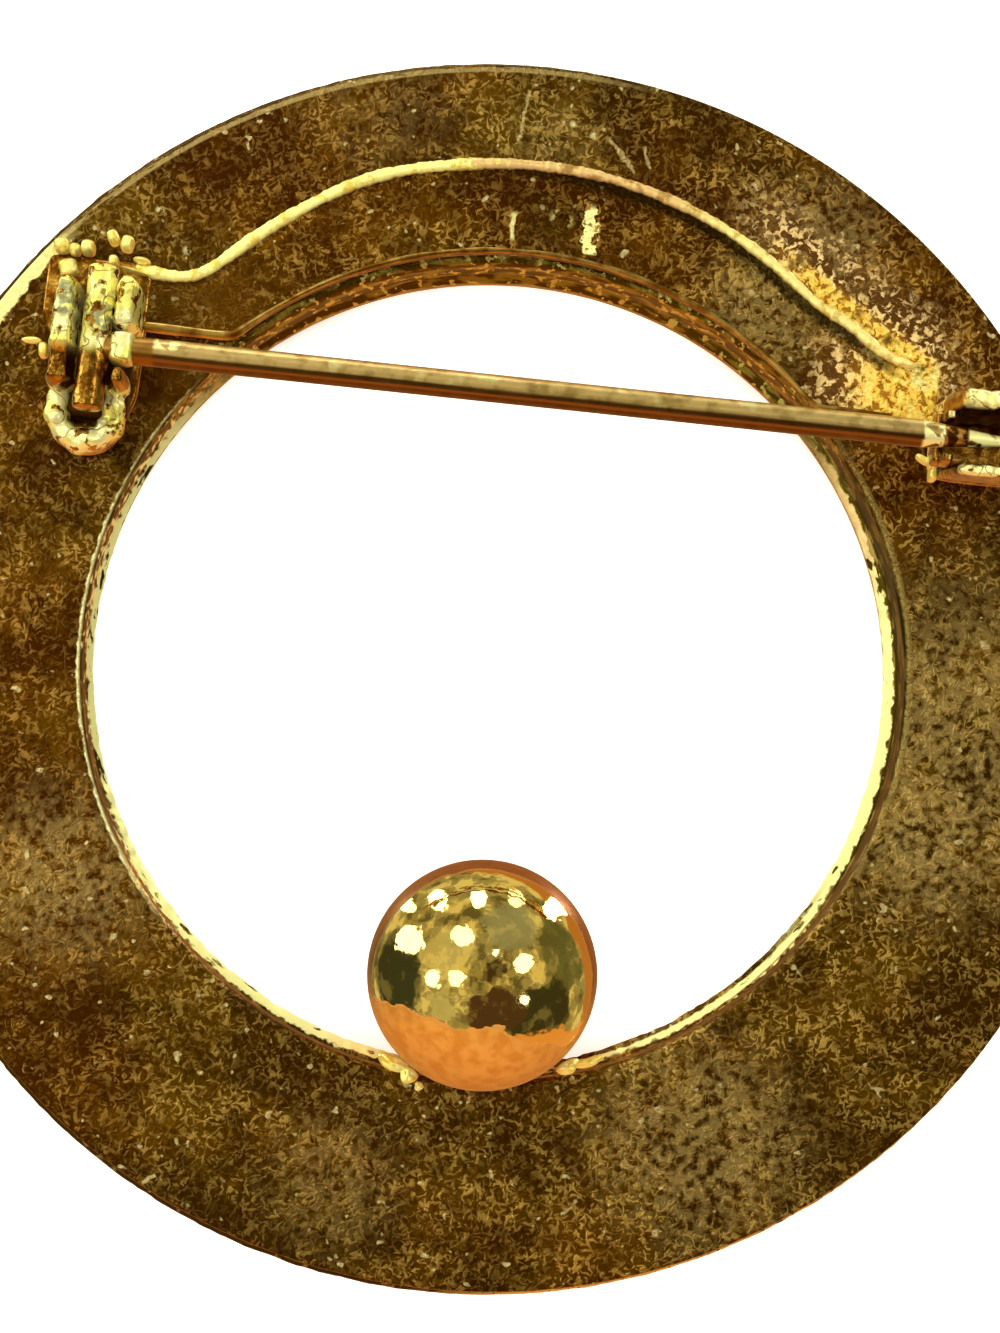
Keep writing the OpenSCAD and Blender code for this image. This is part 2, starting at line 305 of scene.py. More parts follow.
# The crust lies along the bar's straight right shoulder, 0.61 x + 0.99 y = 20.68
past_bar = (0.6148 * band_gilt.x + 0.991 * band_gilt.y - 20.68) / 1.166
stretch = band_gilt.x.rise(8.0, 10.5) * band_gilt.x.rise(16.0, 14.4)
crust, crumb = crumbs(band_gilt, (past_bar + 0.6 * (flecks - 0.5)).rise(1.05, 0.60) * stretch)
bright_side = past_bar.rise(3.0, 1.2) * past_bar.rise(-1.2, -0.6)
bright_side = bright_side * band_gilt.x.rise(6.5, 9.5) * band_gilt.x.rise(17.0, 14.6)
bright_side = bright_side * band_gilt.noise(1.1, 3.0).rise(0.30, 0.46)
back = band_gilt.tint(bright_side, back, crust)
smooth = band_gilt.near(-12.4, 8.9, 0.8, 2.8) * 0.7
back = band_gilt.tint(smooth, back, (0.15, 0.055, 0.003))
# The edges, by distance from the hole's and the plate's own centres. The lip carries a painted
# highlight but at the top, where it is brown with tan streaks that run round with it
way_round = band_gilt.y.math("ARCTAN2", band_gilt.y, band_gilt.x) * 14.5
far = band_gilt.far_from(0.0, 0.0)
run_round = band_gilt.node("CombineXYZ", {}, {"X": way_round * 0.3, "Y": far, "Z": band_gilt.z})
streak = band_gilt.noise(3.6, 3.0, run_round)
outer = far.rise(19.0, 19.5)
at_top, at_right = band_gilt.y.rise(7.0, 10.5), band_gilt.x.rise(6.0, 11.0)
from_hole = band_gilt.far_from(*HOLE_SHIFT) - (HOLE_R + 0.03)
from_plate = band_gilt.far_from(*IN_SHIFT) - PLATE_IN
out_plate = band_gilt.far_from(*OUT_SHIFT)
ragged_by = 0.45 * (flecks - 0.5)
low_down = band_gilt.y.rise(-6.0, -10.0)
lip_reach = 0.12 + 0.15 * at_right * band_gilt.y.rise(7.5, 1.0) + 0.10 * low_down
# pale: the lip's painted highlight, lemon but tan at the upper right
pale = (from_hole + ragged_by - lip_reach).rise(0.06, -0.02) * (1 - at_top) * streak.rise(0.34, 0.40)
pale = pale * (band_gilt.z - 0.25 * band_gilt.x.rise(4.0, -4.0)).rise(2.22, 2.34)
pale = pale * (1 - low_down * band_gilt.x.rise(3.0, 4.0) * (from_hole - 0.3 * ragged_by).rise(0.12, 0.06))
pale_tone = band_gilt.tint(at_right * band_gilt.y.rise(1.0, 7.0), (1.0, 0.93, 0.40), (0.80, 0.56, 0.24))
brown_streaks = band_gilt.tint(streak.rise(0.46, 0.60), (0.105, 0.062, 0.004), (0.33, 0.26, 0.055))
brown_streaks = band_gilt.tint(flecks.rise(0.58, 0.63), brown_streaks, (0.72, 0.64, 0.24))
# The groove and plate wall inside the lip: dark brown with tan streaks as painted shade, with the grain
# running on at the bottom
ledge = band_gilt.tint(streak.rise(0.50, 0.62), (0.085, 0.055, 0.005), (0.36, 0.24, 0.07))
ledge = band_gilt.tint(low_down, ledge, back)
ledge = band_gilt.tint(at_top, ledge, brown_streaks)
ledge = band_gilt.tint(pale, ledge, pale_tone)
top_zone = band_gilt.y.rise(8.5, 10.5) * from_plate.rise(0.75, 0.60)
back = band_gilt.tint(top_zone, back, brown_streaks)
# Lines along the plate's rounded edges are painted highlights: tan at the right of the inner edge, pale at
# its left, pale at the upper left of the outer edge and tan along its top left
line_right = from_plate.rise(0.34, 0.26) * at_right * (1 - at_top) * band_gilt.y.rise(-6.0, -2.0)
back = band_gilt.tint(line_right * 0.9, back, (0.34, 0.245, 0.080))
line_left = (from_plate + 0.5 * ragged_by).rise(0.18, 0.10)
line_left = line_left * band_gilt.x.rise(-10.0, -12.5) * band_gilt.y.rise(9.5, 8.0)
pale = pale.or_more(line_left * on_back)
back = band_gilt.tint(line_left, back, (1.0, 0.93, 0.46))
up_left = band_gilt.near(-18.8, 11.6, 1.6, 3.6)
lemon = up_left * (out_plate + ragged_by).rise(21.62, 21.72)
tan_line = out_plate.rise(21.86, 21.92) * (out_plate + 0.3 * ragged_by).rise(22.11, 22.03)
tan_line = tan_line * band_gilt.x.rise(5.0, 0.0) * band_gilt.y.rise(9.0, 12.0) * streak.rise(0.30, 0.42)
back = band_gilt.tint(tan_line * 0.85, back, (0.62, 0.46, 0.20))
back = band_gilt.tint(lemon, back, (1.0, 0.90, 0.36))
pale = pale.or_more(lemon * on_back)
low_right = band_gilt.y.rise(-8.0, -11.0) * band_gilt.x.rise(-1.0, 4.0)
rim_pale = (low_right * flecks.rise(0.36, 0.42)).or_more(flecks.rise(0.58, 0.70) * 0.35)
# The outer lip and groove: dark brown as painted shade, with pale flecks, many at the lower right
rim = band_gilt.tint(rim_pale, (0.085, 0.046, 0.004), (0.95, 0.80, 0.42))
wall = band_gilt.tint(flecks.rise(0.36, 0.68), (0.34, 0.23, 0.030), (0.60, 0.48, 0.13))
recess = band_gilt.z.rise(2.30, 2.42)
colour = band_gilt.tint(recess, wall, band_gilt.tint(outer, ledge, rim))
colour = band_gilt.tint(on_back, colour, back)
colour = band_gilt.tint(on_front, colour, (0.90, 0.62, 0.22))
sides = (1 - on_back) * (1 - on_front)
height = on_back * (back_height + band_gilt.noise(1.4, 2.0) * 0.8 + bright_side * crumb * 2.0)
height = height + sides * (flecks + streak) * 0.6
rough = 0.14 + on_back * (0.20 + 0.16 * band_gilt.noise(6.0, 2.0)) + sides * 0.22
band_gilt.wear(colour, rough, height, 0.05, 0.7, 1 - 0.35 * pale - 0.3 * (on_back * bright_side))

# In section the front is an arc of radius DOME_R, which bulges most at CROWN_R from the axis
dome_run = np.linspace(HOLE_R + 0.11, RIM_R, 13)
dome_z = FRONT + DOME_R - np.sqrt(DOME_R ** 2 - (dome_run - CROWN_R) ** 2)
dome = np.stack([dome_run, dome_z, *np.zeros((4, 13)), np.full(13, 0.5)], 1)
dome[[0, -1], 6] = 0.10
# Each corner of the rest of the section: distance from the axis, height, how much it takes
# of the plate's outer and inner shift, its shares of groove and lip, and the radius of its
# rounding
groove = 2.45
rest = np.array([
    [RIM_R, LEDGE - 0.05, 0, 0, 0, 0.6, 0.06], [RIM_R - 0.14, LEDGE + 0.03, 0, 0, 0, 1, 0.03],
    [RIM_R - 0.17, groove, 0.2, 0, 1, 0, 0.03], [PLATE_OUT + 0.04, groove, 1, 0, 1, 0, 0.03],
    [PLATE_OUT + 0.01, 3.3, 1, 0, 0.6, 0, 0.1], [PLATE_OUT, BACK, 1, 0, 0, 0, 0.13],
    [PLATE_OUT - 0.4, BACK, 1, 0, 0, 0, 0.1], [PLATE_IN + 0.5, BACK, 0, 1, 0, 0, 0.1],
    [PLATE_IN, BACK, 0, 1, 0, 0, 0.32], [PLATE_IN - 0.02, 3.3, 0, 1, 0.1, 0, 0.2],
    [PLATE_IN - 0.08, 2.72, 0, 1, 0.8, 0, 0.03], [PLATE_IN - 0.12, 2.70, 0, 0.8, 1, 0, 0.03],
    [PLATE_IN - 0.13, LEDGE + 0.04, 0, 0.6, 0, 1, 0.03],
    [HOLE_R - 0.05, LEDGE - 0.22, 0, 0, 0, 1, 0.04],
])
corners = np.vstack([dome, rest])
section = eased(corners[:, :6], corners[:, 6], 5)
turn = np.linspace(0, 2 * np.pi, 720, endpoint=False)[:, None]


def ragged(low, high, seed):
    """Evenly spread waviness round the ring: cosines of low to high turns, each with its own
    drawn phase and a strength that falls as one over the root of its number of turns."""
    draw = np.random.default_rng(seed)
    turns = np.arange(low, high)
    waves = np.cos(turn * turns + draw.uniform(0, 2 * np.pi, len(turns))) / np.sqrt(turns)
    return waves.sum(1, keepdims=True) / np.sqrt((1 / turns).sum() / 2)


uneven = 0.02 * np.sin(3 * turn + 1) + 0.012 * np.sin(7 * turn + 2)
along, up, out_share, in_share = section[:, :4].T[:, None, :]
groove_share, lip_share = section[:, 4:].T
by_hole = along < 20
jag = (0.016 * ragged(16, 260, 3) * by_hole + 0.014 * ragged(40, 340, 4) * ~by_hole) * lip_share
along = along + uneven * (in_share - out_share) + jag * (1 - 0.6 * (out_share + in_share))
# The groove round the hole is open at the right only, and filled with solder elsewhere
filled = 1 - np.clip(np.cos(turn + 0.05), 0, 1) ** 0.5
up = up + 0.14 * filled * groove_share * by_hole
up = up + 0.008 * ragged(12, 150, 5) * np.maximum(lip_share - 0.3, 0)
hole_share = np.clip((17.5 - along) / 3.0, 0, 1) * (1 - in_share)
shift = [out_share * OUT_SHIFT[k] + in_share * IN_SHIFT[k] + hole_share * HOLE_SHIFT[k] for k in range(2)]
band_grid = np.stack([along * np.cos(turn) + shift[0], along * np.sin(turn) + shift[1], up], -1)
band = skin("ring_band", band_grid, band_gilt, run_closes=True)
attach(band, "brooch")
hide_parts("ring")
band.visible_glossy = False


# THE BALL
# A hollow ball of thin brass, mirror-polished and gilt, set into the ring's inner edge at
# the bottom and soldered there. It stands proud of the front, and the brooch lies on it.

BALL_R = 4.05
BALL = np.array([0.911, -11.334, 4.05])

ball_gilt = Finish("ball_gilt")
haze = ball_gilt.noise(0.5, 3.0).rise(0.3, 0.7)
across, height_up, deep = (
    (place - middle) / BALL_R
    for place, middle in zip((ball_gilt.x, ball_gilt.y, ball_gilt.z), BALL.tolist()))
low_side = height_up * 0.993 + deep * 0.139 - across * 0.027
facing = deep * 0.990 - height_up * 0.139
# The lower part and the rim turned away from the view carry a painted reflection of a warm brown surface:
# orange, darker brown at the upper rim, less metallic and rougher there
wobble = 0.34 * (ball_gilt.noise(0.8, 3.0) - 0.5)
rim = (facing + 0.10 * (ball_gilt.noise(1.5, 2.0) - 0.5)).rise(0.37, 0.32)
warm_reflection = (low_side + 0.14 * across + wobble).rise(-0.35, -0.38).or_more(rim) * deep.rise(-0.6, -0.3)
haze = haze * (1 - warm_reflection)
gilt = ball_gilt.tint(haze, (0.88, 0.62, 0.20), (0.90, 0.68, 0.26))
reflection_tone = ball_gilt.noise(2.0, 3.0).rise(0.35, 0.65)
reflection_tone = ball_gilt.tint(reflection_tone, (0.58, 0.215, 0.025), (0.70, 0.305, 0.050))
edge = rim * low_side.rise(-0.4, 0.1)
rim_reflection_brown = ball_gilt.tint(ball_gilt.noise(3.0, 2.0), (0.24, 0.075, 0.018), (0.55, 0.22, 0.06))
reflection_tone = ball_gilt.tint(edge, reflection_tone, rim_reflection_brown)
ball_gilt.wear(ball_gilt.tint(warm_reflection, gilt, reflection_tone),
               0.035 + 0.05 * ball_gilt.noise(1.1, 2.0) + 0.30 * warm_reflection,
               (ball_gilt.noise(1.0, 2.0) + 0.3 * ball_gilt.noise(3.0, 1.0)) * (1 - 0.8 * warm_reflection),
               0.05, 0.5, 1 - 0.55 * warm_reflection * (1 - 0.8 * edge))


def globe(centre, radius, turns, rows):
    """A sphere as rings of constant height: the ring at polar angle p has radius r sin p."""
    p = (np.arange(rows) + 0.5)[:, None] / rows * np.pi
    q = np.linspace(0, 2 * np.pi, turns, endpoint=False)[None, :]
    return centre + radius * np.stack([np.sin(p) * np.cos(q), np.sin(p) * np.sin(q), np.cos(p) + 0 * q], -1)


ball = skin("ball_polished", globe(BALL, BALL_R, 192, 120), ball_gilt)
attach(ball, "brooch")
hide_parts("ball")

# THE SOLDER BESIDE THE BALL
# Small bright beads of solder, gilded over, where the ball meets the ring on each side.

bead_gilt = Finish("solder_gilt", metallic=0.7)
colour = bead_gilt.noise(2.5, 2.0).rise(0.35, 0.6)
colour = bead_gilt.tint(colour, (0.98, 0.74, 0.14), (1.0, 0.93, 0.32))
bead_gilt.wear(colour, 0.34, bead_gilt.noise(2.0, 2.0), 0.04, 0.5)


def swung(points, angle):
    """Points turned by an angle about the Z axis."""
    c, s = math.cos(angle), math.sin(angle)
    x, y, z = np.moveaxis(points, -1, 0)
    return np.stack([c * x - s * y, s * x + c * y, z], -1)


def lump(centre, size, lean):
    """An uneven bead: a sphere scaled by size, turned by lean about Z, its radius times
    1 + 0.09 (sin 3q + sin(2q + 4p))."""
    p = (np.arange(24) + 0.5)[:, None] / 24 * np.pi
    q = np.linspace(0, 2 * np.pi, 40, endpoint=False)[None, :]
    r = 1 + 0.09 * (np.sin(3 * q) + np.sin(2 * q + 4 * p))
    return np.array(centre) + swung(globe(0, r[..., None], 40, 24) * size, lean)


for name, centre, size, lean in (
    ("ring_solder_left", (-1.85, -14.72, 3.66), (0.62, 0.26, 0.26), -0.35),
    ("ring_solder_left_low", (-1.28, -15.10, 3.78), (0.34, 0.30, 0.22), -0.9),
    ("ring_solder_left_far", (-0.90, -15.42, 3.82), (0.20, 0.16, 0.18), -0.5),
    ("ring_solder_right", (4.25, -14.22, 3.62), (0.42, 0.24, 0.30), 0.50),
    ("ring_solder_right_far", (4.95, -13.98, 3.62), (0.55, 0.16, 0.26), 0.36),
):
    bead = skin(name, lump(centre, size, lean), bead_gilt)
    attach(bead, "brooch")


# THE BAR
# A crescent of grained, gilt sheet soldered flat on the back, with its upper edge rolled
# into a bright bead, a shallow bare panel at its middle, and its ends run out into tabs.

SHEET = BACK + 0.02
SHEET_TOP = SHEET + 0.4
BAR_TURN = math.radians(-0.85)  # about the ring's axis

bar_gilt = Finish("bar_gilt")
back, back_height = grain(bar_gilt, 23.9)
bright_end = bar_gilt.near(13.3, 11.3, 1.6, 3.8) * bar_gilt.noise(1.1, 3.0).rise(0.28, 0.46)
warm_end = bar_gilt.near(-11.3, 11.2, 1.0, 4.5)
specks = bar_gilt.noise(3.2, 2.0)
# Two bright marks beside the bare panel: a thin bowed one and a broad ragged one
bow = (bar_gilt.x + 0.80 - 0.16 * (bar_gilt.y - 15.8) ** 2.0).size() + 0.2 * (specks - 0.5)
bow = bow.rise(0.12, 0.06) * bar_gilt.y.rise(15.15, 15.35) * bar_gilt.y.rise(16.40, 16.20)
block = (bar_gilt.x - 2.04).size() + 1.0 * (specks - 0.5)
block = block.rise(0.25, 0.18) * bar_gilt.y.rise(14.95, 15.05) * bar_gilt.y.rise(16.95, 16.60)
smudge = bar_gilt.near(0.95, 16.25, 0.2, 0.55) * specks.rise(0.52, 0.60) * 0.6
mark = (bow * 0.75).or_more(block).or_more(smudge)
panel_dark = bar_gilt.near(0.65, 15.85, 1.1, 1.6)
rubbed = bar_gilt.near(8.6, 14.0, 0.8, 3.0) * specks.rise(0.36, 0.60)
colour = bar_gilt.tint(rubbed * 0.4, back, (0.86, 0.62, 0.24))
colour = bar_gilt.tint(panel_dark * 0.45, colour, (0.060, 0.030, 0.002))
colour = bar_gilt.tint(warm_end * 0.55, colour, (0.13, 0.050, 0.004))
crust, crumb = crumbs(bar_gilt, bar_gilt.near(14.0, 11.2, 1.0, 2.8))
colour = bar_gilt.tint(bright_end, colour, crust)
# A painted shadow darkens the sheet just under its rolled edge; the marks are millimetres below that edge
bead_shadow = bar_gilt.node("Attribute", {"attribute_name": "marks"}, {}, 2) + 0.4 * (specks - 0.5)
bead_shadow = bead_shadow.rise(0.80, 0.45) * bar_gilt.x.rise(-3.0, 3.0) * bar_gilt.x.rise(13.9, 13.2)
colour = bar_gilt.tint(bead_shadow * 0.8, colour, (0.020, 0.014, 0.001))
bead_end = bar_gilt.near(14.6, 11.9, 0.35, 0.8) * specks.rise(0.40, 0.50)
colour = bar_gilt.tint(bead_end, colour, (1.0, 0.90, 0.32))
colour = bar_gilt.tint(mark * specks.rise(0.30, 0.42), colour, (1.0, 0.92, 0.36))
bar_gilt.wear(colour, 0.32 + 0.12 * bar_gilt.noise(6.5, 2.0),
              back_height + bar_gilt.noise(1.5, 2.0) * 0.8 + bright_end * crumb * 2.0,
              0.045, 0.7, 1 - 0.3 * bright_end - 0.4 * mark)


def soft_max(a, b, blend):
    """The larger of two heights, with the corner between them rounded: b + k ln(1 + e^((a-b)/k))."""
    return b + blend * np.logaddexp(0, (a - b) / blend)


def bar_top(x):
    """The bar's upper edge: an arc of radius 15.25 about (0, 2.8) that eases into the tabs,
    a little fuller on its left shoulder and straight on its right one, each by a bell curve
    a e^(-((x - m) / w)^2)."""
    arc = soft_max(2.8 + np.sqrt(np.maximum(15.25 ** 2 - x ** 2, 0)), 12.25, 0.45)
    return arc + 0.18 + 0.16 * np.exp(-((x + 6.3) / 2.2) ** 2) + 0.66 * np.exp(-((x - 11.9) / 1.15) ** 2)


def bar_low(x):
    """The bar's lower edge: an arc of radius 14.78 about the ring's centre, then the tabs."""
    return soft_max(np.sqrt(np.maximum(14.78 ** 2 - x ** 2, 0)), 10.32, 0.15)


x = np.linspace(-14.2, 15.0, 500)[:, None]
low, top = bar_low(x), bar_top(x)
# The section goes up the low edge, over the top face to the bead, and back underneath
share = np.concatenate([[0, 0, 0.004, 0.015], np.linspace(0.03, 0.97, 40), [0.985, 0.996, 1, 1]])[None, :]
rim = np.concatenate([[0, 0.75, 0.92, 0.99], np.ones(40), [0.99, 0.92, 0.75, 0]])[None, :]
y = low + (top - low) * share
below_bead = (top - y) / np.sqrt(1 + np.gradient(top[:, 0], x[:, 0])[:, None] ** 2)
face = -0.10 * np.exp(-((below_bead - 0.42) / 0.2) ** 2) * (0.4 + 0.6 * (x > 4))
panel_in = 1 / (1 + np.exp(-(x + 0.75) / 0.035)) - 1 / (1 + np.exp(-(x - 2.05) / 0.035))
panel_up = 1 / (1 + np.exp(-(y - 15.35) / 0.05)) - 1 / (1 + np.exp(-(y - 16.35) / 0.05))
face = face - 0.10 * panel_in * panel_up
z = SHEET + (SHEET_TOP - SHEET + face) * rim
bar_grid = swung(np.stack([x + 0 * y, y, z], -1), BAR_TURN)
bar = skin("bar_sheet", bar_grid, bar_gilt, marks=below_bead)
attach(bar, "brooch")
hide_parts("pin_bar")

# THE BAR'S ROLLED EDGE
# The sheet's upper edge is rolled over, and its gilding is rubbed bright along the bead.

edge_gilt = Finish("edge_gilt", metallic=0.6)
rubbed = edge_gilt.noise(1.6, 4.0, keep=0.65).rise(0.38, 0.52)
lemon = edge_gilt.tint(rubbed, (0.78, 0.58, 0.10), (1.0, 0.96, 0.32))
tan = edge_gilt.tint(rubbed, (0.40, 0.22, 0.05), (0.78, 0.52, 0.20))
dull = (edge_gilt.x + 3.0 * (rubbed - 0.5)).rise(-1.6, -1.2) * (1 - 0.55 * edge_gilt.x.rise(4.5, 7.0))
edge_gilt.wear(edge_gilt.tint(dull, lemon, tan), 0.36, edge_gilt.noise(3.4, 2.0), 0.035, 0.6)


def laid(path, section):
    """A section carried along a path of points, held level: each section point is set off to
    the left of the path's direction by its first number, and upwards by its second. The
    section is one outline, or an outline for each point of the path."""
    way = np.gradient(path, axis=0)[:, :2]
    way = way / np.linalg.norm(way, axis=1, keepdims=True)
    left = np.stack([-way[:, 1], way[:, 0], np.zeros(len(way))], -1)
    section = np.broadcast_to(section, (len(path),) + section.shape[-2:])
    return path[:, None] + left[:, None] * section[..., :1] + np.array([0, 0, 1.0]) * section[..., 1:]


def oval(half_width, half_height):
    """An ellipse as an outline: half width times cos q, half height times sin q."""
    q = np.linspace(0, 2 * np.pi, 24, endpoint=False)
    return np.stack([half_width * np.cos(q), half_height * np.sin(q)], -1)


def nosed(count, length, nose):
    """Stations along a length, packed towards both ends, and the section's scale at each:
    sqrt(1 - (1 - d / nose)^2) within a nose's length d of an end, so that the ends are round."""
    at = (1 - np.cos(np.linspace(0.06, np.pi - 0.06, count))) / 2
    at = (at - at[0]) / (at[-1] - at[0]) * (length - 0.01) + 0.005
    end = np.minimum(at, length - at)
    return at, np.sqrt(1 - (1 - np.minimum(end / nose, 1)) ** 2)


edge_x = np.linspace(-14.4, 14.2, 440)
edge_y = bar_top(edge_x) - 0.10 + 0.25 * np.exp(-(edge_x + 14.4) / 0.6)
edge_path = swung(np.stack([edge_x, edge_y, np.full(440, SHEET_TOP)], -1), BAR_TURN)
# The bead's thickness wavers as small sines of x, is a sixth more at the left, and tapers
# over its last half millimetre
swell = 1 + 0.08 * np.sin(1.7 * edge_x) + 0.06 * np.sin(4.1 * edge_x + 1) + 0.16 / (1 + np.exp(edge_x + 1.5))
swell = swell + 0.05 * np.sin(9.7 * edge_x + 2) + 0.05 * np.sin(17.3 * edge_x)
swell = swell + 0.04 * np.sin(31.0 * edge_x + 1)
swell = swell * np.clip(np.minimum(edge_x + 14.4, 14.2 - edge_x) / 0.5, 0.15, 1) ** 0.5
edge = skin("bar_rolled_edge", laid(edge_path, oval(0.19, 0.17) * swell[:, None, None]), edge_gilt)
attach(edge, "brooch")

# The lower edge is turned down and has stayed brown, broadest on the left tab
low_gilt = Finish("low_edge_gilt")
colour = low_gilt.noise(1.5, 3.0).rise(0.36, 0.62)
colour = low_gilt.tint(colour, (0.25, 0.11, 0.010), (0.58, 0.38, 0.11))
low_gilt.wear(colour, 0.30, low_gilt.noise(2.5, 2.0), 0.02, 0.5)
low_x = np.linspace(-14.3, 13.4, 400)
low_path = np.stack([low_x, bar_low(low_x) + 0.08, np.full(400, SHEET_TOP - 0.03)], -1)
low_path = swung(low_path, BAR_TURN)
swell = 1 + 0.15 * np.sin(2.3 * low_x) + 0.9 / (1 + np.exp((low_x + 10.2) / 0.3))
low_edge = skin("bar_low_edge", laid(low_path, oval(0.10, 0.09) * swell[:, None, None]), low_gilt)
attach(low_edge, "brooch")


# THE HINGE
# A trough stamped in one with the bar's left end and soldered to the back: a floor with a
# round lower end and a broad bright rim, two cheeks rolled up beside the pin's cross bar,
# and small lugs bent up past them. Painted highlights lie on top in lemon patches, with
# grey painted reflections among them, over brown.

HINGE = np.array([-15.0, 9.1])
AXIS = BACK + 2.7


def unbroken(finish):
    """1 on the painted highlights, and less along the thin, wandering lines that break them."""
    return (finish.noise(1.0, 1.0, finish.moved(9.0, 2.0, 4.0)) - 0.5).size().rise(-0.012, 0.022)


hinge_gilt = Finish("hinge_gilt")
# Painted highlights: lemon blotches over the upper surfaces, broken by thin lines
lowest = 8.9 - 0.4 * hinge_gilt.x.rise(-14.6, -14.2)
upper = (hinge_gilt.y - lowest).rise(-0.3, 0.3).or_more(hinge_gilt.z.rise(6.0, 5.7))
blotch = hinge_gilt.noise(2.1, 3.0, hinge_gilt.moved(2.0, 5.0, 1.0)).rise(0.38, 0.46)
painted_highlight = blotch * unbroken(hinge_gilt) * upper * hinge_gilt.z.rise(4.5, 5.0)
colour = hinge_gilt.noise(2.2, 3.0).rise(0.35, 0.65)
colour = hinge_gilt.tint(colour, (0.20, 0.070, 0.005), (0.58, 0.31, 0.055))
yellower = hinge_gilt.noise(0.9, 2.0).rise(0.42, 0.55)
bright = hinge_gilt.tint(yellower, (1.0, 0.96, 0.44), (1.0, 0.92, 0.22))
# Grey patches on the cross bar and the left cheek are a painted reflection of the room
grey_reflection = hinge_gilt.near(-16.32, 10.6, 0.45, 0.95).or_more(hinge_gilt.near(-14.85, 10.1, 0.3, 0.9))
bright = hinge_gilt.tint(grey_reflection * hinge_gilt.noise(2.6, 1.0).rise(0.38, 0.50), bright, (0.36, 0.35, 0.17))
hinge_gilt.wear(hinge_gilt.tint(painted_highlight, colour, bright),
                0.26 + 0.04 * painted_highlight, hinge_gilt.noise(1.8, 3.0) + 0.4 * painted_highlight,
                0.10, 0.8, 1 - 0.28 * painted_highlight)

# A dark block low in the trough, under the cross bar, is painted shade for the deep slots between the cheeks
trough_shade = Finish("trough_painted_shade")
trough_shade.wear(trough_shade.tint(trough_shade.noise(2.0, 3.0), (0.05, 0.018, 0.001), (0.13, 0.055, 0.006)), 0.5,
          trough_shade.noise(4.0), 0.04, 0.6)

arc = np.linspace(0, -np.pi, 40)
floor_outline = np.vstack([
    [[1.38, 3.7], [1.34, -1.2]], np.stack([1.28 * np.cos(arc) - 0.28, -2.1 + 1.28 * np.sin(arc)], -1),
    [[-1.85, 0.6], [-2.35, 1.6], [-2.35, 3.7]],
])
floor_outline = eased(floor_outline, 0.3, 4)
# Rings of the floor: the share of the outline's size, and the height over the back
rings = np.array([[1.0, 0.0], [1.02, 0.1], [1.02, 0.35], [1.0, 0.43], [0.95, 0.45], [0.5, 0.45]])
centre = floor_outline.mean(0)
floor_rings = HINGE + centre + (floor_outline - centre) * rings[:, :1, None]
floor_heights = np.broadcast_to(SHEET + rings[:, 1:, None], (len(rings), len(floor_outline), 1))
floor_grid = np.concatenate([floor_rings, floor_heights], -1)
hinge_floor = skin("hinge_floor", floor_grid, hinge_gilt)


def squared_off(wave, power):
    """A wave w pushed out towards its ends: sign(w) |w|^power, with a power below 1."""
    return np.sign(wave) * np.abs(wave) ** power


arc = np.linspace(0, -np.pi, 60)
bend = -2.07
leg = np.linspace(-0.9, bend, 20)
rim_path = np.vstack([
    np.stack([np.full(20, 1.0), leg], -1)[:-1],
    np.stack([np.cos(arc), bend + np.sin(arc)], -1),
    np.stack([np.full(20, -1.0), leg[::-1]], -1)[1:],
])
rim_run = np.linspace(0, 1, len(rim_path))
rim_path = np.column_stack([HINGE + rim_path - [0.28, 0.0], np.full(len(rim_path), SHEET + 0.2)])
rim_high = 1.40 + 0.07 * np.sin(19 * rim_run) + 0.06 * np.sin(43 * rim_run + 1)
rim_wide = 0.43 + 0.04 * np.sin(23 * rim_run + 2) + 0.03 * np.sin(51 * rim_run)
rim_ends = np.clip(np.minimum(rim_run, 1 - rim_run) / 0.03, 0.3, 1) ** 0.5
q = np.linspace(0, 2 * np.pi, 32, endpoint=False)
bulge = np.stack([squared_off(np.cos(q), 0.7), squared_off(np.sin(q), 0.8) / 2 + 0.5], -1)
rim_section = bulge[None] * np.stack([rim_wide * rim_ends, rim_high * rim_ends], -1)[:, None]
hinge_rim = skin("hinge_rim", laid(rim_path, rim_section), hinge_gilt)


def rolled_up(count):
    """A section with a round top: cos q across, and a height from 0 to 1, which is 1.15 sin q
    cut off at -1 and 1."""
    q = np.linspace(0, 2 * np.pi, count, endpoint=False)
    return np.cos(q), np.clip(np.sin(q) * 1.15, -1, 1) * 0.5 + 0.5


def cheek(centre, half, start, stop, top, seed):
    """A rolled cheek along Y, with y from the stem. It is uneven by 0.06 sin(5.1 y + seed) +
    0.05 sin(10.7 y + 2 seed), and 0.4 mm lower below the stem, by 1 / (1 + e^(8 y + 3))."""
    at, scale = nosed(80, stop - start, 0.42)
    y = start + at
    wide, high = rolled_up(36)
    bumps = 1 + 0.06 * np.sin(5.1 * y + seed) + 0.05 * np.sin(10.7 * y + 2 * seed)
    tall = (top - SHEET - 0.2) * (0.86 + 0.14 * scale) - 0.4 / (1 + np.exp(8 * y + 3)) + 0.5 * (bumps - 1)
    x = centre + half * wide[None] * scale[:, None] * bumps[:, None]
    z = SHEET + 0.2 + tall[:, None] * high[None]
    return np.stack([HINGE[0] + x, HINGE[1] + y[:, None] + 0 * x, z], -1)


left_cheek = skin("hinge_cheek_left", cheek(-1.18, 0.49, -1.53, 2.41, AXIS + 0.68, 1.0), hinge_gilt)
right_cheek = skin("hinge_cheek_right", cheek(0.94, 0.46, 0.62, 2.6, AXIS + 0.68, 2.3), hinge_gilt)
right_low = skin("hinge_cheek_right_low", cheek(0.92, 0.34, -1.40, -0.64, AXIS + 0.75, 4.1), hinge_gilt)


